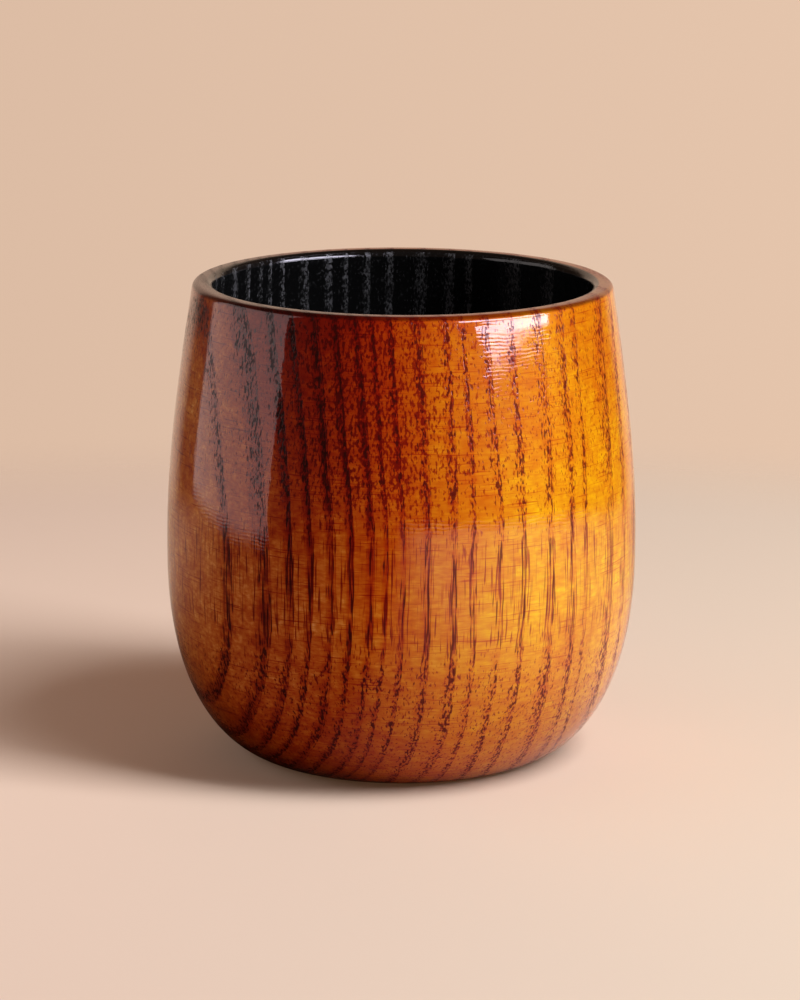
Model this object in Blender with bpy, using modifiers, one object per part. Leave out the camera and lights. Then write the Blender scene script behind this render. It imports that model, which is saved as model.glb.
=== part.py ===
"""Turned wooden tumbler: a cup turned from one block of wood, with a black lacquer lining.

Metres, +Z up. The origin is the centre of the foot, on the surface that the cup stands on.
Every profile is drawn as (radius, height) and turned about the cup's axis, Z.
"""
import math

import bpy
from mathutils import Matrix, Vector
from mathutils.geometry import interpolate_bezier

MM = 0.001

# Outside of the cup
CUP_HEIGHT = 80.8 * MM
BELLY_DIAMETER = 80.0 * MM
BELLY_HEIGHT = 34.0 * MM
RIM_DIAMETER = 70.7 * MM
RIM_LEAN = math.radians(9.0)
FOOT_DIAMETER = 49.6 * MM
HEEL_RISE = math.radians(10.0)

# Lip, from the outside of the rim to the mouth
LIP_WIDTH = 3.7 * MM
LIP_OUTER_ROUND = 1.2 * MM
LIP_INNER_ROUND = 1.3 * MM

# Inside of the cup, measured on the finished lacquer
WALL_THICKNESS = 5.0 * MM
FLOOR_THICKNESS = 9.0 * MM
FLOOR_FLAT_DIAMETER = 30.0 * MM

# Lacquer lining: the share of the lip's inner rounding that it covers, and its room in the wood
LINING_THICKNESS = 0.3 * MM
LINING_CLEARANCE = 0.3 * MM
LINING_REACH = 0.5

# Foot ring, with the underside turned out inside it
FOOT_RING_WIDTH = 4.2 * MM
RECESS_DEPTH = 1.5 * MM
RECESS_DRAFT = math.radians(35.0)
RECESS_ROUND = 0.8 * MM

# How long each curve keeps to its end tangent, as a share of the span it crosses
RIM_PULL = 0.53
BELLY_PULL_UP = 0.28
BELLY_PULL_DOWN = 0.76
HEEL_PULL = 0.30
BOWL_PULL_DOWN = 0.80
FLOOR_PULL = 0.60

# Fineness of the turned surfaces
TURN_STEPS = 64
WALL_STEPS = 10
HEEL_STEPS = 14
BOWL_STEPS = 9
ROUND_STEPS = 4
MERGE_DISTANCE = 0.01 * MM

# Finishes: linear base colour and roughness
AMBER_WOOD = (0.40, 0.13, 0.022, 1.0)
AMBER_WOOD_ROUGHNESS = 0.18
BLACK_LACQUER = (0.006, 0.005, 0.005, 1.0)
BLACK_LACQUER_ROUGHNESS = 0.10

UP = Vector((0.0, 1.0))
DOWN = Vector((0.0, -1.0))
OUT = Vector((1.0, 0.0))


def up_the_wall(lean):
    """Direction of a wall that leans in towards the axis as it rises."""
    return Vector((-math.sin(lean), math.cos(lean)))


def wall_above_belly(belly, top):
    """Curve that leaves the belly upright and reaches the top with the rim's lean."""
    rise = top.y - belly.y
    upright = belly + UP * rise * BELLY_PULL_UP
    leaning = top - up_the_wall(RIM_LEAN) * rise * RIM_PULL
    return interpolate_bezier(belly, upright, leaning, top, WALL_STEPS + 1)


def rounded_corner(before, corner, after, radius, begins=0.0, ends=1.0):
    """Arc that rounds the corner between two straight legs, or the part of it between two shares."""
    leg_in = (before - corner).normalized()
    leg_out = (after - corner).normalized()
    half_angle = leg_in.angle(leg_out) / 2
    bisector = (leg_in + leg_out).normalized()
    centre = corner + bisector * radius / math.sin(half_angle)
    start = corner + leg_in * radius / math.tan(half_angle)
    end = corner + leg_out * radius / math.tan(half_angle)
    sweep = (end - centre).angle_signed(start - centre)
    arc = []
    for step in range(ROUND_STEPS + 1):
        share = begins + (ends - begins) * step / ROUND_STEPS
        arc.append(centre + Matrix.Rotation(sweep * share, 2) @ (start - centre))
    return arc


def offset_outwards(points, distance):
    """Moves a curve that runs from the axis up to the lip away from the inside of the cup."""
    moved = []
    for place, point in enumerate(points):
        if place == 0:
            along = OUT
        elif place == len(points) - 1:
            along = (point - points[place - 1]).normalized()
        else:
            along = (points[place + 1] - points[place - 1]).normalized()
        moved.append(point + Vector((along.y, -along.x)) * distance)
    return moved


def lip_inner_rounding(begins, ends):
    """Part of the arc from the inner wall onto the top of the lip."""
    mouth = Vector((RIM_DIAMETER / 2 - LIP_WIDTH, CUP_HEIGHT))
    return rounded_corner(mouth - up_the_wall(RIM_LEAN), mouth, mouth + OUT, LIP_INNER_ROUND, begins, ends)


def lip_outer_rounding():
    """Arc from the top of the lip onto the outer wall."""
    rim = Vector((RIM_DIAMETER / 2, CUP_HEIGHT))
    return rounded_corner(rim - OUT, rim, rim - up_the_wall(RIM_LEAN), LIP_OUTER_ROUND)


def bowl_face():
    """Finished inside of the cup, from the middle of its floor to the lining's edge on the lip."""
    edge = lip_inner_rounding(0.0, LINING_REACH)
    belly = Vector((BELLY_DIAMETER / 2 - WALL_THICKNESS, BELLY_HEIGHT))
    centre = Vector((0.0, FLOOR_THICKNESS))
    floor_edge = Vector((FLOOR_FLAT_DIAMETER / 2, FLOOR_THICKNESS))
    floor_reach = (belly.x - floor_edge.x) * FLOOR_PULL
    belly_reach = (belly.y - floor_edge.y) * BOWL_PULL_DOWN
    corner = interpolate_bezier(floor_edge, floor_edge + OUT * floor_reach,
                                belly + DOWN * belly_reach, belly, BOWL_STEPS + 1)
    return [centre] + corner + wall_above_belly(belly, edge[0])[1:] + edge[1:]


def lip(lining_face):
    """Shoulder over the lining's edge, and the lip from there over to the outer wall."""
    along_edge = (lining_face[-1] - lining_face[-2]).normalized()
    behind_edge = offset_outwards(lining_face, LINING_THICKNESS + LINING_CLEARANCE)[-1]
    shoulder = behind_edge + along_edge * LINING_CLEARANCE
    arc_length = LIP_INNER_ROUND * (math.pi / 2 + RIM_LEAN)
    bare = LINING_REACH + LINING_CLEARANCE / arc_length
    return [shoulder] + lip_inner_rounding(bare, 1.0) + lip_outer_rounding()


def outer_wall():
    """Outside of the cup from under the rounded lip to the foot."""
    under_lip = lip_outer_rounding()[-1]
    belly = Vector((BELLY_DIAMETER / 2, BELLY_HEIGHT))
    foot = Vector((FOOT_DIAMETER / 2, 0.0))
    heel_reach = (belly.x - foot.x) * HEEL_PULL
    heel = foot + Vector((math.cos(HEEL_RISE), math.sin(HEEL_RISE))) * heel_reach
    below = interpolate_bezier(belly, belly + DOWN * belly.y * BELLY_PULL_DOWN, heel, foot, HEEL_STEPS + 1)
    above = wall_above_belly(belly, under_lip)
    above.reverse()
    return above[1:] + below[1:]


def underside():
    """Flat foot ring and the shallow recess inside it, ending on the axis."""
    foot = Vector((FOOT_DIAMETER / 2, 0.0))
    ring_edge = foot - OUT * FOOT_RING_WIDTH
    recess_edge = ring_edge + Vector((-math.tan(RECESS_DRAFT), 1.0)) * RECESS_DEPTH
    centre = Vector((0.0, RECESS_DEPTH))
    return [ring_edge] + rounded_corner(ring_edge, recess_edge, centre, RECESS_ROUND) + [centre]


def lining_profile():
    """The lacquer film: its finished face, and its back a film's thickness behind it."""
    face = bowl_face()
    back = offset_outwards(face, LINING_THICKNESS)
    back.reverse()
    return face + back


def body_profile():
    """The wood: the lining's bed, the lip, the outer wall, the foot and the recess."""
    face = bowl_face()
    bed = offset_outwards(face, LINING_THICKNESS + LINING_CLEARANCE)
    return bed + lip(face) + outer_wall() + underside()


def finish(name, colour, roughness):
    """Glossy finish with no metal in it."""
    material = bpy.data.materials.new(name)
    material.use_nodes = True
    shader = material.node_tree.nodes["Principled BSDF"]
    shader.inputs["Base Color"].default_value = colour
    shader.inputs["Roughness"].default_value = roughness
    shader.inputs["Metallic"].default_value = 0.0
    return material


def turn(name, profile, material, collection, parent):
    """Turns a profile about Z and gives it its finish."""
    mesh = bpy.data.meshes.new(name)
    vertices = [(point.x, 0.0, point.y) for point in profile]
    edges = [(place, place + 1) for place in range(len(profile) - 1)]
    mesh.from_pydata(vertices, edges, [])
    mesh.materials.append(material)
    piece = bpy.data.objects.new(name, mesh)
    collection.objects.link(piece)
    piece.parent = parent
    screw = piece.modifiers.new("Turning", "SCREW")
    screw.axis = "Z"
    screw.angle = math.tau
    screw.steps = TURN_STEPS
    screw.render_steps = TURN_STEPS
    screw.use_merge_vertices = True
    screw.merge_threshold = MERGE_DISTANCE
    screw.use_smooth_shade = True


def main():
    for item in list(bpy.data.objects):
        bpy.data.objects.remove(item, do_unlink=True)
    collection = bpy.data.collections.new("wooden_tumbler")
    bpy.context.scene.collection.children.link(collection)
    axis = bpy.data.objects.new("turning_axis", None)
    collection.objects.link(axis)
    wood = finish("amber lacquered wood", AMBER_WOOD, AMBER_WOOD_ROUGHNESS)
    lacquer = finish("black lacquer", BLACK_LACQUER, BLACK_LACQUER_ROUGHNESS)
    turn("turned_body", body_profile(), wood, collection, axis)
    turn("lacquer_lining", lining_profile(), lacquer, collection, axis)


main()
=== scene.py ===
import math

import bpy
from mathutils import Euler, Matrix, Vector
from mathutils.geometry import interpolate_bezier


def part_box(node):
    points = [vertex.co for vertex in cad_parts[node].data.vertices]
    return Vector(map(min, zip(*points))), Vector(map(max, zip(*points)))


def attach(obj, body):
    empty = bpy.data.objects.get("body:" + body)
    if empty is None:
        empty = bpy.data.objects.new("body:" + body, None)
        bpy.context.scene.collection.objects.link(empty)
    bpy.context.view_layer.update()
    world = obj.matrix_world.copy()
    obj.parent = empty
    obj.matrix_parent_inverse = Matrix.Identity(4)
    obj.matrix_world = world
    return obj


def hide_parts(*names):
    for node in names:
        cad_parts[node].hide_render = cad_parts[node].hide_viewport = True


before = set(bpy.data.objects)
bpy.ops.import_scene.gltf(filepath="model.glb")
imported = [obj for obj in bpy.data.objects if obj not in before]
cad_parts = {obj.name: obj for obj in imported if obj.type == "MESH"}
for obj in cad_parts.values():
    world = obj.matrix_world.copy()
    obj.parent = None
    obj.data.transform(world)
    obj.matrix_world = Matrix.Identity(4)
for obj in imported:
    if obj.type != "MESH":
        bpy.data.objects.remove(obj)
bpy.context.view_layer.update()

MM = 0.001
WOOD_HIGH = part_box("turned_body")[1]

# Outside of the cup, as it was turned
CUP_HEIGHT = WOOD_HIGH.z
BELLY_RADIUS = WOOD_HIGH.x
BELLY_HEIGHT = 34.0 * MM
RIM_RADIUS = 35.35 * MM
RIM_LEAN = math.radians(9.0)
FOOT_RADIUS = 24.8 * MM
HEEL_RISE = math.radians(10.0)

# Lip and bowl
LIP_WIDTH = 3.7 * MM
LIP_OUTER_ROUND = 1.2 * MM
LIP_INNER_ROUND = 1.3 * MM
WALL_THICKNESS = 5.0 * MM
FLOOR_THICKNESS = 9.0 * MM
FLOOR_FLAT_RADIUS = 15.0 * MM
LACQUER_THICKNESS = 0.3 * MM
LACQUER_SEAT = 0.03 * MM

# Underside
FOOT_RING_WIDTH = 4.2 * MM
FOOT_RING_ROUND = 0.3 * MM
RECESS_DEPTH = 1.5 * MM
RECESS_DRAFT = math.radians(35.0)
RECESS_ROUND = 0.8 * MM

# How long each curve keeps to its end tangent, as a share of the span it crosses
RIM_PULL = 0.53
BELLY_PULL_UP = 0.28
BELLY_PULL_DOWN = 0.76
HEEL_PULL = 0.30
BOWL_PULL_DOWN = 0.80
FLOOR_PULL = 0.60

# Fineness of the turned surfaces
TURN_STEPS = 256
WALL_POINTS = 40
HEEL_POINTS = 40
BOWL_POINTS = 30
ROUND_POINTS = 9
CORNER_SHARE = 0.1
MERGE_DISTANCE = 0.005 * MM

# Point of the lip's inner rounding at which the lacquer film stops, half-way over it
LACQUER_STOP = ROUND_POINTS // 2

# Growth of the tree: where its pith lay from the cup's axis, the width of each year's growth from the pith
# side of the cup to the bark side, the share of all those years in which one turns to the next, and how far
# from the pith the last row opens and is gone
PITH_DISTANCE = 135.2
PITH_BEARING = math.radians(16.3)
FIRST_YEAR = 95.7
YEAR_WIDTHS = (5.0, 5.0, 4.3, 7.8, 2.8, 4.8, 5.8, 4.2, 4.2, 2.8, 4.2,
               4.0, 2.6, 2.0, 2.4, 2.4, 2.4, 2.2, 2.6, 3.6, 3.0, 3.0)
YEAR_TURNS = 0.0005
LAST_ROW = 172.6
LAST_ROW_GONE = 173.2

# Early wood, as shares of a year's growth: where its row of vessels is fully open, begins to thin and ends.
# Then the strength of a row where it is faint and where it is bold
ROW_OPENS = 0.07
ROW_THINS = 0.18
ROW_ENDS = 0.5
ROW_FAINT = 0.74
ROW_BOLD = 1.16

# Colour of the lacquered wood from the pith side of the cup to the bark side: the depth from the pith, and
# the colour there. It is partly the wood's own drift and partly painted shade: the red side, away from the
# softbox, is darker and redder than the wood
WOOD_DRIFT = ((104.0, "#DE8C00"), (116.0, "#CE7D00"), (128.0, "#D98600"), (140.0, "#D27400"),
              (152.0, "#C25803"), (162.0, "#AC4508"), (171.0, "#A0470F"), (175.0, "#A45010"))

# Depths from the pith between which the gold side turns to the red side, fine vessels crowd and thin out
# again, and the bark side begins
RED_BEGINS = 140.0
RED_FULL = 165.0
CROWD_BEGINS = 136.0
CROWD_FULL = 152.0
CROWD_THINS = 158.0
CROWD_GONE = 172.0
BARK_SIDE_BEGINS = 164.0
BARK_SIDE_FULL = 170.0

# Sizes in the wood: its vessels, flecks and patches across the rings, along the rings and up the trunk.
# Real fine vessels of the late wood and scratches of polishing are too fine to show: these are coarser
VESSEL = (0.28, 0.28, 6.5)
VESSEL_CUT_ACROSS = (0.36, 0.33, 1.1)
FINE_VESSEL = (0.32, 0.30, 9.0)
FINE_VESSEL_CUT_ACROSS = (0.42, 0.40, 0.9)
BRUSHED_SPECK = (0.36, 0.36, 0.7)
ROW_SWELL = (2.4, 6.0, 13.0)
FLECK = (2.4, 0.9, 0.55)
MOTTLE = (2.6, 2.2, 1.9)
PATCH = (11.0, 11.0, 16.0)
SCRATCH = (8.0, 8.0, 0.22)
LATHE_PITCH = 0.62
LATHE_UNEVEN = (4.0, 4.0, 2.5)
HAND_UNEVEN = (1.3, 1.3, 2.6)

# Wander of the fibres, slow and small: its size in the three directions, and how far it goes
FIBRE_WANDER = (((14.0, 14.0, 40.0), 1.8), ((1.5, 1.5, 8.0), 0.35))

# Vessels: how much a row adds to the chance of one, and the chances at which its edge begins and is full.
# Then what a cut along it takes off, what crowding adds for dots, and the crowding on the bark side
VESSEL_CROWDING = 0.42
PORE_EDGE = (0.92, 1.02)
STAIN_EDGE = (0.76, 0.96)
SPECK_CROWDING = 0.60
SPECK_EDGE = (0.72, 1.36)
FINE_CROWDING = 0.20
FINE_EDGE = (0.72, 0.98)
LENGTHWISE_RARER = 0.06
DOTS_CROWD = 0.25
DOTS_FEWEST = -0.4

# How far a surface looks up, as the upright part of its normal: where the lip begins and is full, and where
# the lathe begins to cut the vessels across and does so fully, above the belly and below it
LIP_BEGINS = 0.4
LIP_FULL = 0.68
ACROSS_ABOVE_BEGINS = 0.03
ACROSS_ABOVE_FULL = 0.10
ACROSS_BELOW_BEGINS = -0.07
ACROSS_BELOW_FULL = -0.16

# Edge of the mouth: how far a surface looks away from the axis, as its radius times the level part of its
# normal, and the heights between which the edge begins
MOUTH_BEGINS = -2.0
MOUTH_FULL = -9.0
MOUTH_FOOT = 60.0
MOUTH_TOP = 70.0

# Relief left under the lacquer: the lathe's rings and their wander, and how far the rest sinks
LATHE_RING = 0.0034
LATHE_WANDER = 5.0
LATHE_WANDER_SCALE = 0.7
PORE_SINKS = -0.006
ROW_SINKS = -0.003
RUBBED_SINKS = -0.005

# Soak of the amber lacquer: on plain wood, how far flecks and mottle swing it on the gold and red side, and
# what each feature adds
PLAIN_SOAK = 0.65
SWING_GOLD = 0.60
SWING_RED = 0.75
LINE_SOAK = 0.55
LINE_BEGINS = 0.8
PATCH_SOAK = 0.3
FINE_PORE_SOAK = 0.8
STAIN_SOAK = 0.3
# End grain's deeper soak is partly painted shade under the heel
END_GRAIN_SOAK = 0.6

# Painted shade towards the rim, made as a deeper soak: on the gold, red and bark side, and the heights
# between which it grows
RIM_PAINTED_SHADE_GOLD = 0.15
RIM_PAINTED_SHADE_RED = 1.1
RIM_PAINTED_SHADE_BARK = 0.15
RIM_PAINTED_SHADE_FOOT = 38.0
RIM_PAINTED_SHADE_TOP = 80.0

# Soak in the rows: on the red side it grows between two heights, and mottle makes it uneven
ROW_SOAK_GOLD = 0.2
ROW_SOAK_LOW = 0.4
ROW_SOAK_HIGH = 1.1
ROW_SOAK_BARK = 0.45
ROW_SOAK_FOOT = 22.0
ROW_SOAK_TOP = 50.0
ROW_SOAK_LEAST = 0.4

# Shade of the wood, as shares of its colour: on end grain and on the lip, on the gold and red side, and in
# fine pores. On end grain under the heel it is partly painted shade, deepest on the red side away from the
# softbox
END_GRAIN_POWER = 1.4
END_GRAIN_AND_PAINTED_SHADE_GOLD = 0.62
END_GRAIN_AND_PAINTED_SHADE_RED = 0.04
LIP_SHADE_GOLD = 0.3
LIP_SHADE_RED = 0.22
FINE_PORE_SHADE = 0.7

# Colours in the pores, on the gold and red side, and over the mouth's edge, and how full a pore is
PORE_GOLD_SIDE = "#4E0A00"
PORE_RED_SIDE = "#1E0201"
MOUTH_BLACK = "#0B0807"
PORE_FILLED = 0.84

# Gloss of the amber lacquer: the coat left in pores, on the lip and on the rows there, and the roughness of
# wood and pores under the coat
PORE_COAT = 0.45
LIP_COAT = 0.75
LIP_ROW_COAT = 0.55
WOOD_ROUGHNESS = 0.40
PORE_ROUGHNESS = 0.6

# Black lacquer, plain and in its brushed streaks, and the least that mottle leaves of a streak
LINING_BLACK = "#0B0B0C"
LINING_STREAK = "#47474A"
LINING_ROUGHNESS = 0.10
STREAK_ROUGHNESS = 0.60
STREAK_LEAST = 0.25

# Table in the studio: its size, how far it stands towards the camera, and where it fades out
TABLE_RADIUS = 0.402
TABLE_SIDES = 128
TABLE_NEARER = 0.14
TABLE_FADES = 0.31
TABLE_GONE = 0.40

# Places on the table, from its middle, between which its look changes: from left to right for the camera and
# for the cup's gloss, and away behind the cup. For the gloss, the look is painted shade on the left and
# painted light on the right and behind the cup
PALE_LEFT = -0.05
PALE_RIGHT = 0.06
GLOSS_PAINTED_SHADE = -0.02
GLOSS_PAINTED_LIGHT = 0.06
BACK_BEGINS = 0.13
BACK_FULL = 0.25

# Colours of the table: to the camera, to the cup's gloss as painted shade, painted light and painted light
# behind the cup, and in the light that it throws back
TABLE_ON_LEFT = "#D6C0B1"
TABLE_ON_RIGHT = "#D2C2B3"
TABLE_PAINTED_SHADE = "#3A2416"
TABLE_PAINTED_LIGHT = "#F2DCCC"
TABLE_PAINTED_LIGHT_BEHIND = "#B8A292"
TABLE_THROWN = "#D2B6A2"

# Paper behind the cup and the room: directions, as parts of a unit length, between which the paper's colour
# goes from left to right and between which the paper begins, and the colours
PAPER_LEFT = -0.12
PAPER_RIGHT = 0.12
PAPER_BEGINS = 0.73
PAPER_FULL = 0.89
PAPER_ON_LEFT = "#DCBCA4"
PAPER_ON_RIGHT = "#E5C5AC"
DIM_ROOM = "#4A372B"

# Card to the left of the cup, which glows as painted light in place of a white card lit by the softbox: its
# corners as places away from the camera and heights
CARD_LEFT = -0.215
CARD_OUTLINE = ((-0.108, 0.004), (0.105, 0.010), (0.105, 0.220), (-0.150, 0.220))
CARD_BRIGHTNESS = 1.1
CARD_SOFT_EDGE = 0.010
CARD_TINT = "#FFF3EF"

# Softbox to the right of the camera: its lamp, and its two panels as bearings in degrees and heights
SOFTBOX_AWAY = 1.0
SOFTBOX_BEARING = 65.0
SOFTBOX_RISE = math.radians(45.0)
SOFTBOX_WIDTH = 0.33
SOFTBOX_HEIGHT = 0.90
SOFTBOX_RADIANCE = 16.7
LOWER_PANEL = ((49.0, 0.141), (83.8, 0.125), (84.0, 0.240), (39.0, 0.240), (39.0, 0.198))
LOWER_PANEL_SOFT_EDGE = 0.03
UPPER_PANEL = ((31.0, 0.325), (86.0, 0.325), (86.0, 0.620), (31.0, 0.620))
UPPER_PANEL_SOFT_EDGE = 0.01
PANEL_BRIGHTNESS = 17.0
PANEL_TINT = "#F0EBFF"

# Light that the paper throws back
GLOW_PLACE = Vector((0.0, 1.1, 0.7))
GLOW_WIDTH = 1.2
GLOW_HEIGHT = 1.0
GLOW_RADIANCE = 1.0
GLOW_TINT = "#FFD0A4"

# Camera: sensor and lens in millimetres, shifts as shares of the picture
LOOK_DOWN = math.radians(13.27)
CAMERA_DISTANCE = 0.640
CAMERA_ROLL = math.radians(0.324)
SENSOR_WIDTH = 36.0
LENS = 134.79
SHIFT_ACROSS = -0.001435
SHIFT_UP = 0.013557

# Length of one wave of the wave texture at scale 1, and the values that noise mostly keeps between
WAVE_PERIOD = math.pi / 10
NOISE_LOW = 0.28
NOISE_HIGH = 0.72
NOISE_MIDDLE = (0.5, 0.5, 0.5)

UP = Vector((0.0, 1.0))
DOWN = Vector((0.0, -1.0))
OUT = Vector((1.0, 0.0))
LEVEL_PART = (1.0, 1.0, 0.0)
MIDDLE = Vector((0.0, 0.0, CUP_HEIGHT / 2))


def up_the_wall(lean):
    """Direction of a wall that leans in towards the axis as it rises."""
    return Vector((-math.sin(lean), math.cos(lean)))


def wall_above_belly(belly, top):
    """Curve that leaves the belly upright and reaches the top with the rim's lean."""
    rise = top.y - belly.y
    upright = belly + UP * rise * BELLY_PULL_UP
    leaning = top - up_the_wall(RIM_LEAN) * rise * RIM_PULL
    return interpolate_bezier(belly, upright, leaning, top, WALL_POINTS)


def rounded_corner(before, corner, after, radius):
    """Arc that rounds the corner between two straight legs."""
    leg_in = (before - corner).normalized()
    leg_out = (after - corner).normalized()
    half_angle = leg_in.angle(leg_out) / 2
    bisector = (leg_in + leg_out).normalized()
    centre = corner + bisector * radius / math.sin(half_angle)
    start = corner + leg_in * radius / math.tan(half_angle)
    end = corner + leg_out * radius / math.tan(half_angle)
    sweep = (end - centre).angle_signed(start - centre)
    arc = []
    for step in range(ROUND_POINTS):
        swing = Matrix.Rotation(sweep * step / (ROUND_POINTS - 1), 2)
        arc.append(centre + swing @ (start - centre))
    return arc


def offset_outwards(points, distance):
    """Moves a curve that runs from the axis up to the rim away from the inside of the cup."""
    moved = []
    for place, point in enumerate(points):
        if place == 0:
            along = OUT
        elif place == len(points) - 1:
            along = (point - points[place - 1]).normalized()
        else:
            along = (points[place + 1] - points[place - 1]).normalized()
        moved.append(point + Vector((along.y, -along.x)) * distance)
    return moved


def rim_corners():
    """Inner and outer corners of the lip, before they are rounded."""
    return Vector((RIM_RADIUS - LIP_WIDTH, CUP_HEIGHT)), Vector((RIM_RADIUS, CUP_HEIGHT))


def lip_rounding():
    """Arc from the inner wall onto the top of the lip."""
    mouth, rim = rim_corners()
    return rounded_corner(mouth - up_the_wall(RIM_LEAN), mouth, rim, LIP_INNER_ROUND)


def bowl_face():
    """Finished inside of the cup, from the middle of its floor to the middle of the lip's rounding."""
    rounding = lip_rounding()
    belly = Vector((BELLY_RADIUS - WALL_THICKNESS, BELLY_HEIGHT))
    floor_edge = Vector((FLOOR_FLAT_RADIUS, FLOOR_THICKNESS))
    floor_reach = (belly.x - floor_edge.x) * FLOOR_PULL
    belly_reach = (belly.y - floor_edge.y) * BOWL_PULL_DOWN
    corner = interpolate_bezier(floor_edge, floor_edge + OUT * floor_reach,
                                belly + DOWN * belly_reach, belly, BOWL_POINTS)
    centre = Vector((0.0, FLOOR_THICKNESS))
    return [centre] + corner + wall_above_belly(belly, rounding[0])[1:] + rounding[1:LACQUER_STOP + 1]


def outer_wall():
    """Outside of the cup from the lip's outer rounding to the foot."""
    mouth, rim = rim_corners()
    belly = Vector((BELLY_RADIUS, BELLY_HEIGHT))
    foot = Vector((FOOT_RADIUS, 0.0))
    lip_edge = rounded_corner(mouth, rim, rim - up_the_wall(RIM_LEAN), LIP_OUTER_ROUND)
    above = wall_above_belly(belly, lip_edge[-1])
    above.reverse()
    heel = foot + Vector((math.cos(HEEL_RISE), math.sin(HEEL_RISE))) * (belly.x - foot.x) * HEEL_PULL
    below = interpolate_bezier(belly, belly + DOWN * belly.y * BELLY_PULL_DOWN, heel, foot, HEEL_POINTS)
    return lip_edge + above[1:] + below[1:]


def underside():
    """Flat foot ring and the shallow recess inside it, ending on the axis."""
    ring_edge = Vector((FOOT_RADIUS - FOOT_RING_WIDTH, 0.0))
    recess_edge = ring_edge + Vector((-math.tan(RECESS_DRAFT), 1.0)) * RECESS_DEPTH
    centre = Vector((0.0, RECESS_DEPTH))
    foot = Vector((FOOT_RADIUS, 0.0))
    return (rounded_corner(foot, ring_edge, recess_edge, FOOT_RING_ROUND)
            + rounded_corner(ring_edge, recess_edge, centre, RECESS_ROUND) + [centre])


def crisp(before, corner, after):
    """A corner with a point close by on either side, so that smooth shading doesn't run across it."""
    return [corner.lerp(before, CORNER_SHARE), corner, corner.lerp(after, CORNER_SHARE)]


def lining_profile():
    """Black lacquer: its finished face up onto the lip's rounding, and its back against the wood."""
    face = bowl_face()
    back = offset_outwards(face, LACQUER_THICKNESS - LACQUER_SEAT)
    back.reverse()
    return face[:-1] + crisp(face[-2], face[-1], back[0]) + back


def body_profile():
    """Wood: the bed of the lining, the lip from the lining's edge, the outer wall and the underside."""
    bed = offset_outwards(bowl_face(), LACQUER_THICKNESS)
    lip_top = lip_rounding()[LACQUER_STOP:]
    edge = crisp(bed[-1], lip_top[0], lip_top[1])
    return bed + edge + lip_top[1:] + outer_wall() + underside()


def new_object(name, data):
    """Object that is linked into the scene."""
    made = bpy.data.objects.new(name, data)
    bpy.context.scene.collection.objects.link(made)
    return made


def turn(name, profile, finish, node_name):
    """Turns a profile about Z, gives it its finish, and puts it in the place of its CAD node."""
    mesh = bpy.data.meshes.new(name)
    vertices = [(point.x, 0.0, point.y) for point in profile]
    edges = [(place, place + 1) for place in range(len(profile) - 1)]
    mesh.from_pydata(vertices, edges, [])
    mesh.materials.append(finish)
    piece = new_object(name, mesh)
    screw = piece.modifiers.new("Turning", "SCREW")
    screw.axis = "Z"
    screw.angle = math.tau
    screw.steps = TURN_STEPS
    screw.render_steps = TURN_STEPS
    screw.use_merge_vertices = True
    screw.merge_threshold = MERGE_DISTANCE
    screw.use_smooth_shade = True
    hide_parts(node_name)
    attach(piece, "root")


def linear(hex_colour):
    """An sRGB hex colour as the linear colour that a shader takes."""
    shares = [int(hex_colour[place:place + 2], 16) / 255 for place in (1, 3, 5)]
    bright = [share / 12.92 if share <= 0.04045 else ((share + 0.055) / 1.055) ** 2.4 for share in shares]
    return (*bright, 1.0)


def link(tree, source, socket):
    """Links a socket, or the first output that a node has in use, to an input."""
    if isinstance(source, bpy.types.Node):
        source = next(place for place in source.outputs if place.enabled)
    tree.links.new(source, socket)


def node(tree, kind, inputs=None, **settings):
    """Adds a node with its settings, its fixed values and its links."""
    made = tree.nodes.new("ShaderNode" + kind)
    for name, value in settings.items():
        setattr(made, name, value)
    for key, value in (inputs or {}).items():
        if isinstance(key, str):
            socket = next(place for place in made.inputs if place.name == key and place.enabled)
        else:
            socket = made.inputs[key]
        if isinstance(value, (bpy.types.Node, bpy.types.NodeSocket)):
            link(tree, value, socket)
        else:
            socket.default_value = value
    return made


def figure(tree, block, size, detail):
    """Soft variation from 0 to 1, in cells of a given size across the rings, along them and up the
    trunk."""
    scale = [1 / length for length in size]
    cells = node(tree, "VectorMath", {0: block, 1: scale}, operation="MULTIPLY")
    noise = node(tree, "TexNoise", {"Vector": cells, "Scale": 1.0, "Detail": detail})
    return node(tree, "MapRange", {"Value": noise, "From Min": NOISE_LOW, "From Max": NOISE_HIGH})


def wandering_fibres(tree, place):
    """Place in the block with the sideways wander of real fibres."""
    fibre = place
    for size, amount in FIBRE_WANDER:
        scale = [1 / length for length in size]
        cells = node(tree, "VectorMath", {0: place, 1: scale}, operation="MULTIPLY")
        swirl = node(tree, "TexNoise", {"Vector": cells, "Scale": 1.0, "Detail": 1.0}).outputs["Color"]
        swirl = node(tree, "VectorMath", {0: swirl, 1: NOISE_MIDDLE}, operation="SUBTRACT")
        swirl = node(tree, "VectorMath", {0: swirl, 1: (amount, amount, 0.0)}, operation="MULTIPLY")
        fibre = node(tree, "VectorMath", {0: fibre, 1: swirl}, operation="ADD")
    return fibre


def depth_from_pith(tree, fibre):
    """Depth from the pith, which runs upright beside the cup."""
    pith = (PITH_DISTANCE * math.cos(PITH_BEARING), PITH_DISTANCE * math.sin(PITH_BEARING), 0.0)
    from_pith = node(tree, "VectorMath", {0: fibre, 1: pith}, operation="SUBTRACT")
    from_pith = node(tree, "VectorMath", {0: from_pith, 1: LEVEL_PART}, operation="MULTIPLY")
    return node(tree, "VectorMath", {0: from_pith}, operation="LENGTH").outputs["Value"]


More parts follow.
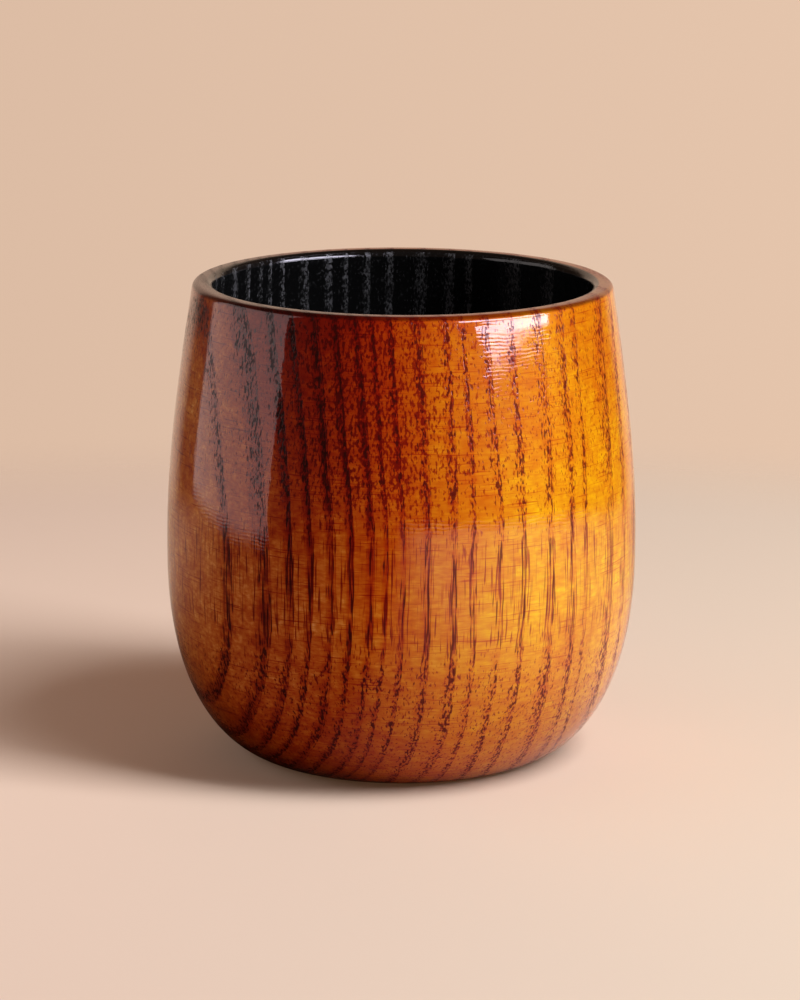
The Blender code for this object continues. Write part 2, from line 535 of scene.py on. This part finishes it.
def years_of_growth(tree, depth):
    """Share of the year's growth that is past at a depth from the pith. Each year is one tooth of a saw."""
    span = sum(YEAR_WIDTHS)
    share = node(tree, "MapRange", {"Value": depth, "From Min": FIRST_YEAR, "From Max": FIRST_YEAR + span})
    saw = node(tree, "FloatCurve", {"Value": share})
    curve = saw.mapping.curves[0]
    begins = 0.0
    for width in YEAR_WIDTHS:
        ends = begins + width / span
        if begins > 0.0:
            curve.points.new(begins, 0.0).handle_type = "VECTOR"
        curve.points.new(ends - YEAR_TURNS, 1.0).handle_type = "VECTOR"
        begins = ends
    curve.points[0].handle_type = "VECTOR"
    saw.mapping.update()
    return saw


def rows_of_early_wood(tree, block, depth):
    """Rows of large vessels. Each opens a year and thins out into the late wood, bold here and faint
    there."""
    since = years_of_growth(tree, depth)
    opening = node(tree, "MapRange", {"Value": since, "From Min": 0.0, "From Max": ROW_OPENS})
    closing = node(tree, "MapRange", {"Value": since, "From Min": ROW_THINS, "From Max": ROW_ENDS,
                                      "To Min": 1.0, "To Max": 0.0})
    rows = node(tree, "Math", {0: opening, 1: closing}, operation="MULTIPLY")
    swell = node(tree, "MapRange", {"Value": figure(tree, block, ROW_SWELL, detail=1.0),
                                    "To Min": ROW_FAINT, "To Max": ROW_BOLD})
    rows = node(tree, "Math", {0: rows, 1: swell}, operation="MULTIPLY")
    return node(tree, "MapRange", {"Value": depth, "From Min": LAST_ROW, "From Max": LAST_ROW_GONE,
                                   "To Min": rows, "To Max": 0.0})


def large_vessels(tree, block, across):
    """Chance of a large vessel: short where the lathe cut it across, long and rarer where lengthwise."""
    crosswise = figure(tree, block, VESSEL_CUT_ACROSS, detail=1.0)
    lengthwise = node(tree, "Math", {0: figure(tree, block, VESSEL, detail=1.0), 1: LENGTHWISE_RARER},
                      operation="SUBTRACT")
    return node(tree, "Mix", {"Factor": across, "A": lengthwise, "B": crosswise}, data_type="FLOAT")


def fine_vessels(tree, block, depth, across, below):
    """Chance of a fine vessel of the late wood. Cut across they are dots, which crowd on the red side above
    the belly and are few on the bark side."""
    crowd = node(tree, "MapRange", {"Value": depth, "From Min": CROWD_BEGINS, "From Max": CROWD_FULL})
    crowd = node(tree, "MapRange", {"Value": depth, "From Min": CROWD_THINS, "From Max": CROWD_GONE,
                                    "To Min": crowd, "To Max": DOTS_FEWEST})
    crowd = node(tree, "MapRange", {"Value": below, "To Min": crowd, "To Max": 0.0})
    dots = figure(tree, block, FINE_VESSEL_CUT_ACROSS, detail=2.0)
    dots = node(tree, "Math", {0: crowd, 1: DOTS_CROWD, 2: dots}, operation="MULTIPLY_ADD")
    lengthwise = figure(tree, block, FINE_VESSEL, detail=1.0)
    return node(tree, "Mix", {"Factor": across, "A": lengthwise, "B": dots}, data_type="FLOAT")


def opened(tree, chance, rows, crowding, edge):
    """Vessels cut open by the lathe, 1 inside a vessel and 0 outside. They crowd in the rows."""
    crowded = node(tree, "Math", {0: rows, 1: crowding, 2: chance}, operation="MULTIPLY_ADD")
    return node(tree, "MapRange", {"Value": crowded, "From Min": edge[0], "From Max": edge[1]})


def edge_of_mouth(tree, place, normal, level):
    """1 where the lip's inner rounding turns to the axis, near the rim."""
    sideways = node(tree, "VectorMath", {0: place, 1: LEVEL_PART}, operation="MULTIPLY")
    outwards = node(tree, "VectorMath", {0: sideways, 1: normal}, operation="DOT_PRODUCT").outputs["Value"]
    inwards = node(tree, "MapRange", {"Value": outwards, "From Min": MOUTH_BEGINS, "From Max": MOUTH_FULL})
    near_rim = node(tree, "MapRange", {"Value": level, "From Min": MOUTH_FOOT, "From Max": MOUTH_TOP})
    return node(tree, "Math", {0: inwards, 1: near_rim}, operation="MULTIPLY")


def relief_under_lacquer(tree, place, pores, rows):
    """Height of the surface in millimetres: uneven rings left by the lathe, and hollows."""
    rings = node(tree, "TexWave", {"Vector": place, "Scale": WAVE_PERIOD / LATHE_PITCH,
                                   "Distortion": LATHE_WANDER, "Detail": 1.0,
                                   "Detail Scale": LATHE_WANDER_SCALE}, bands_direction="Z")
    uneven = figure(tree, place, LATHE_UNEVEN, detail=1.0)
    relief = node(tree, "Math", {0: rings, 1: uneven}, operation="MULTIPLY")
    relief = node(tree, "Math", {0: relief, 1: LATHE_RING}, operation="MULTIPLY")
    rubbed = figure(tree, place, HAND_UNEVEN, detail=2.0)
    for hollow, sinks in ((pores, PORE_SINKS), (rows, ROW_SINKS), (rubbed, RUBBED_SINKS)):
        relief = node(tree, "Math", {0: hollow, 1: sinks, 2: relief}, operation="MULTIPLY_ADD")
    return relief


def grain_of_the_block():
    """Solid grain of a ring-porous wood with its fibres along Z, worked out in millimetres of the block,
    so that every face shows the cut that the lathe made through it."""
    tree = bpy.data.node_groups.new("zelkova grain", "ShaderNodeTree")

    # Depth from the pith, place along the year's ring, and height up the trunk
    coordinates = node(tree, "TexCoord")
    place = node(tree, "VectorMath", {0: coordinates.outputs["Object"], "Scale": 1.0 / MM},
                 operation="SCALE")
    fibre = wandering_fibres(tree, place)
    depth = depth_from_pith(tree, fibre)
    along_ring = (-math.sin(PITH_BEARING), math.cos(PITH_BEARING), 0.0)
    along = node(tree, "VectorMath", {0: fibre, 1: along_ring}, operation="DOT_PRODUCT").outputs["Value"]
    level = node(tree, "SeparateXYZ", {0: fibre}).outputs["Z"]
    block = node(tree, "CombineXYZ", {"X": depth, "Y": along, "Z": level})

    # The lathe cuts the vessels lengthwise at the belly, and more and more across towards lip and foot
    normal = coordinates.outputs["Normal"]
    facing = node(tree, "SeparateXYZ", {0: normal}).outputs["Z"]
    above = node(tree, "MapRange", {"Value": facing, "From Min": ACROSS_ABOVE_BEGINS,
                                    "From Max": ACROSS_ABOVE_FULL})
    below = node(tree, "MapRange", {"Value": facing, "From Min": ACROSS_BELOW_BEGINS,
                                    "From Max": ACROSS_BELOW_FULL})
    across = node(tree, "Math", {0: above, 1: below}, operation="MAXIMUM")
    rows = rows_of_early_wood(tree, block, depth)
    large = large_vessels(tree, block, across)
    small = fine_vessels(tree, block, depth, across, below)
    specks = figure(tree, block, BRUSHED_SPECK, detail=2.0)
    pores = opened(tree, large, rows, VESSEL_CROWDING, PORE_EDGE)

    shown = {
        "Depth": depth,
        "Level": level,
        "Rows": rows,
        "Pores": pores,
        "Stain": opened(tree, large, rows, VESSEL_CROWDING, STAIN_EDGE),
        "Fine pores": opened(tree, small, rows, FINE_CROWDING, FINE_EDGE),
        "Specks": opened(tree, specks, rows, SPECK_CROWDING, SPECK_EDGE),
        "Flecks": figure(tree, block, FLECK, detail=2.0),
        "Mottle": figure(tree, block, MOTTLE, detail=3.0),
        "Patches": figure(tree, block, PATCH, detail=1.0),
        "Scratches": figure(tree, place, SCRATCH, detail=1.0),
        "Height": relief_under_lacquer(tree, place, pores, rows),
        "End grain": node(tree, "Math", {0: facing}, operation="ABSOLUTE"),
        "Lip": node(tree, "MapRange", {"Value": facing, "From Min": LIP_BEGINS, "From Max": LIP_FULL}),
        "Mouth": edge_of_mouth(tree, place, normal, level),
    }
    for name in shown:
        tree.interface.new_socket(name=name, in_out="OUTPUT", socket_type="NodeSocketFloat")
    group_out = tree.nodes.new("NodeGroupOutput")
    for name, value in shown.items():
        link(tree, value, group_out.inputs[name])
    return tree


def new_finish(name):
    """Material with its node tree and its shader."""
    finish = bpy.data.materials.new(name)
    finish.use_nodes = True
    tree = finish.node_tree
    return finish, tree, tree.nodes["Principled BSDF"]


def drift_of_colour(tree, depth):
    """Colour of the lacquered wood at a depth from the pith, partly painted shade on the red side away from
    the softbox.
    """
    first = WOOD_DRIFT[0][0]
    last = WOOD_DRIFT[-1][0]
    share = node(tree, "MapRange", {"Value": depth, "From Min": first, "From Max": last})
    ramp = node(tree, "ValToRGB", {0: share})
    stops = ramp.color_ramp.elements
    stops[0].color = linear(WOOD_DRIFT[0][1])
    stops[1].color = linear(WOOD_DRIFT[-1][1])
    for reached, colour in WOOD_DRIFT[1:-1]:
        stops.new((reached - first) / (last - first)).color = linear(colour)
    return ramp


def painted_shade_at_rim(tree, wood, red, bark_side):
    """Painted shade towards the rim, made as a deeper soak, most on the red side."""
    rim = node(tree, "MapRange", {"Value": wood["Level"], "From Min": RIM_PAINTED_SHADE_FOOT,
                                  "From Max": RIM_PAINTED_SHADE_TOP})
    soak = node(tree, "MapRange", {"Value": red, "To Min": RIM_PAINTED_SHADE_GOLD, "To Max": RIM_PAINTED_SHADE_RED})
    soak = node(tree, "MapRange", {"Value": bark_side, "To Min": soak, "To Max": RIM_PAINTED_SHADE_BARK})
    return node(tree, "Math", {0: rim, 1: soak}, operation="MULTIPLY")


def soak_in_rows(tree, wood, red, bark_side):
    """Deeper, uneven soak in the rows, most on the red side above the belly."""
    soak = node(tree, "MapRange", {"Value": wood["Level"], "From Min": ROW_SOAK_FOOT,
                                   "From Max": ROW_SOAK_TOP, "To Min": ROW_SOAK_LOW,
                                   "To Max": ROW_SOAK_HIGH})
    soak = node(tree, "MapRange", {"Value": bark_side, "To Min": soak, "To Max": ROW_SOAK_BARK})
    soak = node(tree, "MapRange", {"Value": red, "To Min": ROW_SOAK_GOLD, "To Max": soak})
    uneven = node(tree, "MapRange", {"Value": wood["Mottle"], "To Min": ROW_SOAK_LEAST, "To Max": 1.0})
    soak = node(tree, "Math", {0: uneven, 1: soak}, operation="MULTIPLY")
    return node(tree, "Math", {0: wood["Rows"], 1: soak}, operation="MULTIPLY")


def soak_of_lacquer(tree, wood, red):
    """How deep the amber lacquer has soaked in, as the power that the wood's colour is raised to. Flecks and
    mottle swing it about, more on the red side, and it is deeper in scratches, patches, rows, fine pores and
    stains. It is deeper towards the rim too, which is painted shade, and in end grain, which under the heel
    is partly painted shade."""
    # Mean of mottle and flecks, with its middle at zero
    swing = node(tree, "Math", {0: wood["Mottle"], 1: 0.5, 2: -0.5}, operation="MULTIPLY_ADD")
    swing = node(tree, "Math", {0: wood["Flecks"], 1: 0.5, 2: swing}, operation="MULTIPLY_ADD")

    strength = node(tree, "MapRange", {"Value": red, "To Min": SWING_GOLD, "To Max": SWING_RED})
    soak = node(tree, "Math", {0: swing, 1: strength, 2: PLAIN_SOAK}, operation="MULTIPLY_ADD")
    bark_side = node(tree, "MapRange", {"Value": wood["Depth"], "From Min": BARK_SIDE_BEGINS,
                                        "From Max": BARK_SIDE_FULL})
    lines = node(tree, "MapRange", {"Value": wood["Scratches"], "From Min": LINE_BEGINS, "From Max": 1.0})
    for feature, amount in ((painted_shade_at_rim(tree, wood, red, bark_side), 1.0),
                            (lines, LINE_SOAK),
                            (wood["Patches"], PATCH_SOAK),
                            (soak_in_rows(tree, wood, red, bark_side), 1.0),
                            (wood["Fine pores"], FINE_PORE_SOAK),
                            (wood["Stain"], STAIN_SOAK),
                            (wood["End grain"], END_GRAIN_SOAK)):
        soak = node(tree, "Math", {0: feature, 1: amount, 2: soak}, operation="MULTIPLY_ADD")
    return soak


def cut_and_painted_shade(tree, wood, red):
    """Share of the wood's colour that is left: less on end grain and in fine pores, little on the lip. Under
    the heel the end-grain share is partly painted shade, deepest on the red side.
    """
    # Under the heel, this end-grain darkening is partly painted shade
    end_cut = node(tree, "Math", {0: wood["End grain"], 1: END_GRAIN_POWER}, operation="POWER")
    deepest = node(tree, "MapRange", {"Value": red, "To Min": END_GRAIN_AND_PAINTED_SHADE_GOLD, "To Max": END_GRAIN_AND_PAINTED_SHADE_RED})
    shade = node(tree, "MapRange", {"Value": end_cut, "To Min": 1.0, "To Max": deepest})
    dots = node(tree, "MapRange", {"Value": wood["Fine pores"], "To Min": 1.0, "To Max": FINE_PORE_SHADE})
    shade = node(tree, "Math", {0: shade, 1: dots}, operation="MULTIPLY")
    lip_shade = node(tree, "MapRange", {"Value": red, "To Min": LIP_SHADE_GOLD, "To Max": LIP_SHADE_RED})
    return node(tree, "MapRange", {"Value": wood["Lip"], "To Min": shade, "To Max": lip_shade})


def colour_of_wood(tree, wood):
    """Gold to red-brown wood under the amber lacquer, with its dark pores, and black over the mouth's edge.
    The red is partly painted shade on the side away from the softbox."""
    red = node(tree, "MapRange", {"Value": wood["Depth"], "From Min": RED_BEGINS, "From Max": RED_FULL},
               interpolation_type="SMOOTHSTEP")
    colour = node(tree, "Gamma", {"Color": drift_of_colour(tree, wood["Depth"]),
                                  "Gamma": soak_of_lacquer(tree, wood, red)})
    colour = node(tree, "Mix", {"Factor": 1.0, "A": colour, "B": cut_and_painted_shade(tree, wood, red)},
                  data_type="RGBA", blend_type="MULTIPLY")
    pore_colour = node(tree, "Mix", {"Factor": red, "A": linear(PORE_GOLD_SIDE),
                                     "B": linear(PORE_RED_SIDE)}, data_type="RGBA")
    filled = node(tree, "Math", {0: wood["Pores"], 1: PORE_FILLED}, operation="MULTIPLY")
    colour = node(tree, "Mix", {"Factor": filled, "A": colour, "B": pore_colour}, data_type="RGBA")
    return node(tree, "Mix", {"Factor": wood["Mouth"], "A": colour, "B": linear(MOUTH_BLACK)},
                data_type="RGBA")


def amber_lacquered_zelkova(grain):
    """Zelkova, turned, filled and finished with wiped-on amber lacquer. The eye gets a deep glossy coat over
    warm wood, dark open pores in rows, one row a year, and a slow drift from gold to red-brown, which is
    partly painted shade on the side away from the softbox."""
    finish, tree, shader = new_finish("amber-lacquered zelkova")
    wood = node(tree, "Group", node_tree=grain).outputs
    link(tree, colour_of_wood(tree, wood), shader.inputs["Base Color"])
    bump = node(tree, "Bump", {"Height": wood["Height"], "Strength": 1.0, "Distance": MM})
    link(tree, bump, shader.inputs["Normal"])
    link(tree, bump, shader.inputs["Coat Normal"])
    wall_coat = node(tree, "MapRange", {"Value": wood["Pores"], "To Min": 1.0, "To Max": PORE_COAT})
    lip_coat = node(tree, "MapRange", {"Value": wood["Rows"], "To Min": LIP_COAT, "To Max": LIP_ROW_COAT})
    coat = node(tree, "MapRange", {"Value": wood["Lip"], "To Min": wall_coat, "To Max": lip_coat})
    link(tree, coat, shader.inputs["Coat Weight"])
    rough = node(tree, "MapRange", {"Value": wood["Pores"], "To Min": WOOD_ROUGHNESS,
                                    "To Max": PORE_ROUGHNESS})
    link(tree, rough, shader.inputs["Roughness"])
    shader.inputs["IOR"].default_value = 1.5
    shader.inputs["Specular IOR Level"].default_value = 0.05
    shader.inputs["Coat Roughness"].default_value = 0.04
    shader.inputs["Coat IOR"].default_value = 1.52
    return finish


def black_lacquer(grain):
    """Black lacquer brushed over the open grain. The eye gets a near-black gloss in which the rows of pores
    show as rough, greyer upright streaks."""
    finish, tree, shader = new_finish("brushed black lacquer")
    wood = node(tree, "Group", node_tree=grain).outputs
    brushed = node(tree, "MapRange", {"Value": wood["Mottle"], "To Min": STREAK_LEAST, "To Max": 1.0})
    streaks = node(tree, "Math", {0: wood["Specks"], 1: brushed}, operation="MULTIPLY")
    colour = node(tree, "Mix", {"Factor": streaks, "A": linear(LINING_BLACK), "B": linear(LINING_STREAK)},
                  data_type="RGBA")
    link(tree, colour, shader.inputs["Base Color"])
    rough = node(tree, "MapRange", {"Value": streaks, "To Min": LINING_ROUGHNESS,
                                    "To Max": STREAK_ROUGHNESS})
    link(tree, rough, shader.inputs["Roughness"])
    bump = node(tree, "Bump", {"Height": wood["Height"], "Strength": 1.0, "Distance": 2 * MM})
    link(tree, bump, shader.inputs["Normal"])
    shader.inputs["IOR"].default_value = 1.54
    return finish


def pale_painted_board():
    """Matt pale paint on a board, which fades out at the far edge. The camera sees it pale all over. To the
    cup's gloss it shows painted shade on the left and painted light on the right and behind the cup."""
    finish, tree, shader = new_finish("pale painted board")
    place = node(tree, "TexCoord").outputs["Object"]
    reach = node(tree, "VectorMath", {0: place}, operation="LENGTH").outputs["Value"]
    fade = node(tree, "MapRange", {"Value": reach, "From Min": TABLE_FADES, "From Max": TABLE_GONE,
                                   "To Min": 1.0, "To Max": 0.0}, interpolation_type="SMOOTHSTEP")
    link(tree, fade, shader.inputs["Alpha"])
    spot = node(tree, "SeparateXYZ", {0: place}).outputs
    to_right = node(tree, "MapRange", {"Value": spot["X"], "From Min": PALE_LEFT, "From Max": PALE_RIGHT})
    # Painted light and shade, which only the cup's gloss sees
    painted_light = node(tree, "MapRange", {"Value": spot["X"], "From Min": GLOSS_PAINTED_SHADE, "From Max": GLOSS_PAINTED_LIGHT})
    behind = node(tree, "MapRange", {"Value": spot["Y"], "From Min": BACK_BEGINS, "From Max": BACK_FULL})
    painted_gloss = node(tree, "Mix", {"Factor": painted_light, "A": linear(TABLE_PAINTED_SHADE), "B": linear(TABLE_PAINTED_LIGHT)},
                    data_type="RGBA")
    painted_gloss = node(tree, "Mix", {"Factor": behind, "A": painted_gloss, "B": linear(TABLE_PAINTED_LIGHT_BEHIND)},
                    data_type="RGBA")
    pale = node(tree, "Mix", {"Factor": to_right, "A": linear(TABLE_ON_LEFT), "B": linear(TABLE_ON_RIGHT)},
                data_type="RGBA")
    rays = node(tree, "LightPath").outputs
    colour = node(tree, "Mix", {"Factor": rays["Is Glossy Ray"], "A": linear(TABLE_THROWN), "B": painted_gloss},
                  data_type="RGBA")
    colour = node(tree, "Mix", {"Factor": rays["Is Camera Ray"], "A": colour, "B": pale},
                  data_type="RGBA")
    link(tree, colour, shader.inputs["Base Color"])
    shader.inputs["Roughness"].default_value = 0.9
    shader.inputs["Specular IOR Level"].default_value = 0.0
    return finish


def studio_table():
    """Round table top, a little nearer to the camera than the cup."""
    mesh = bpy.data.meshes.new("table_top")
    turns = [math.tau * step / TABLE_SIDES for step in range(TABLE_SIDES)]
    corners = [(TABLE_RADIUS * math.cos(turned), TABLE_RADIUS * math.sin(turned), 0.0) for turned in turns]
    mesh.from_pydata(corners, [], [tuple(range(TABLE_SIDES))])
    mesh.materials.append(pale_painted_board())
    table = new_object("table_top", mesh)
    table.location = (0.0, -TABLE_NEARER, 0.0)


def studio_world():
    """Paper all round to the camera. To the cup, paper behind it and a dim room elsewhere."""
    world = bpy.data.worlds.new("paper and dim room")
    bpy.context.scene.world = world
    world.use_nodes = True
    tree = world.node_tree
    background = tree.nodes["Background"]
    looking = node(tree, "SeparateXYZ", {0: node(tree, "TexCoord").outputs["Generated"]}).outputs
    to_right = node(tree, "MapRange", {"Value": looking["X"], "From Min": PAPER_LEFT,
                                       "From Max": PAPER_RIGHT})
    paper = node(tree, "Mix", {"Factor": to_right, "A": linear(PAPER_ON_LEFT), "B": linear(PAPER_ON_RIGHT)},
                 data_type="RGBA")
    behind = node(tree, "MapRange", {"Value": looking["Y"], "From Min": PAPER_BEGINS,
                                     "From Max": PAPER_FULL}, interpolation_type="SMOOTHSTEP")
    seen = node(tree, "LightPath").outputs["Is Camera Ray"]
    shown = node(tree, "Math", {0: behind, 1: seen}, operation="MAXIMUM")
    colour = node(tree, "Mix", {"Factor": shown, "A": linear(DIM_ROOM), "B": paper}, data_type="RGBA")
    link(tree, colour, background.inputs["Color"])
    background.inputs["Strength"].default_value = 1.0


def glowing_card(name, corners, brightness, tint, soft_edge, lights):
    """Card that glows, as painted light or as the front of a softbox, and fades out at its sloping foot,
    from its first corner to its second, and towards its second corner. The camera doesn't see it, the cup's
    gloss does."""
    mesh = bpy.data.meshes.new(name)
    mesh.from_pydata(corners, [], [tuple(range(len(corners)))])
    card = new_object(name, mesh)
    finish, tree, shader = new_finish(name + " white")
    shader.inputs["Base Color"].default_value = linear("#000000")
    shader.inputs["Emission Color"].default_value = linear(tint)
    place = node(tree, "SeparateXYZ", {0: node(tree, "TexCoord").outputs["Object"]}).outputs
    near, far = Vector(corners[0]), Vector(corners[1])
    slope = (far.z - near.z) / (far.y - near.y)
    foot = near.z - slope * near.y
    above = node(tree, "Math", {0: place["Y"], 1: -slope, 2: place["Z"]}, operation="MULTIPLY_ADD")
    strength = node(tree, "MapRange", {"Value": above, "From Min": foot, "From Max": foot + soft_edge,
                                       "To Max": brightness})
    strength = node(tree, "MapRange", {"Value": place["Y"], "From Min": far.y - soft_edge,
                                       "From Max": far.y, "To Min": strength, "To Max": 0.0})
    link(tree, strength, shader.inputs["Emission Strength"])
    mesh.materials.append(finish)
    card.visible_camera = False
    card.visible_shadow = False
    card.visible_diffuse = lights


def at_bearing(degrees, away, height):
    """Place at a bearing from the camera's side round to the right, at a level distance from the axis."""
    bearing = math.radians(degrees)
    return Vector((away * math.sin(bearing), -away * math.cos(bearing), height))


def studio_cards():
    """Card that stands on the table to the left and glows, painted light in place of a white card lit by the
    softbox, and the two panels of the softbox's front: the wall's gloss shows the lower one, the rounded lip
    the upper one."""
    corners = [(CARD_LEFT, along, height) for along, height in CARD_OUTLINE]
    glowing_card("glowing_card", corners, CARD_BRIGHTNESS, CARD_TINT, CARD_SOFT_EDGE, lights=True)
    for name, outline, soft_edge in (("softbox_foot", LOWER_PANEL, LOWER_PANEL_SOFT_EDGE),
                                     ("softbox_top", UPPER_PANEL, UPPER_PANEL_SOFT_EDGE)):
        corners = [at_bearing(degrees, SOFTBOX_AWAY, height) for degrees, height in outline]
        glowing_card(name, corners, PANEL_BRIGHTNESS, PANEL_TINT, soft_edge, lights=False)


def soft_lamp(name, place, width, height, radiance, shadow=True, tint="#FFFFFF"):
    """Flat lamp of a given brightness, aimed at the cup. It lights surfaces, and neither the camera nor
    their gloss sees it."""
    lamp = bpy.data.lights.new(name, "AREA")
    lamp.shape = "RECTANGLE"
    lamp.size = width
    lamp.size_y = height
    lamp.energy = radiance * math.pi * width * height
    lamp.color = linear(tint)[:3]
    lamp.use_shadow = shadow
    stand = new_object(name, lamp)
    stand.location = place
    stand.rotation_euler = (MIDDLE - place).to_track_quat("-Z", "Y").to_euler()
    stand.visible_camera = False
    stand.visible_glossy = False


def studio_lamps():
    """Softbox to the right of the camera, and the light that the paper behind the cup throws back."""
    level_distance = SOFTBOX_AWAY * math.cos(SOFTBOX_RISE)
    height = SOFTBOX_AWAY * math.sin(SOFTBOX_RISE)
    softbox = MIDDLE + at_bearing(SOFTBOX_BEARING, level_distance, height)
    soft_lamp("softbox", softbox, SOFTBOX_WIDTH, SOFTBOX_HEIGHT, SOFTBOX_RADIANCE)
    soft_lamp("paper_glow", GLOW_PLACE, GLOW_WIDTH, GLOW_HEIGHT, GLOW_RADIANCE, shadow=False,
              tint=GLOW_TINT)


def photograph():
    """Camera at the photograph's viewing angle and framing."""
    data = bpy.data.cameras.new("photograph")
    data.sensor_width = SENSOR_WIDTH
    data.lens = LENS
    data.shift_x = SHIFT_ACROSS
    data.shift_y = SHIFT_UP
    camera = new_object("photograph", data)
    camera.location = MIDDLE + CAMERA_DISTANCE * Vector((0.0, -math.cos(LOOK_DOWN), math.sin(LOOK_DOWN)))
    tilted = Euler((math.pi / 2 - LOOK_DOWN, 0.0, 0.0)).to_matrix()
    camera.rotation_euler = (tilted @ Matrix.Rotation(CAMERA_ROLL, 3, "Z")).to_euler()
    bpy.context.scene.camera = camera


bpy.context.scene.view_settings.view_transform = "Standard"
zelkova_grain = grain_of_the_block()
turn("turned_cup", body_profile(), amber_lacquered_zelkova(zelkova_grain), "turned_body")
turn("black_lining", lining_profile(), black_lacquer(zelkova_grain), "lacquer_lining")
studio_table()
studio_world()
studio_cards()
studio_lamps()
photograph()
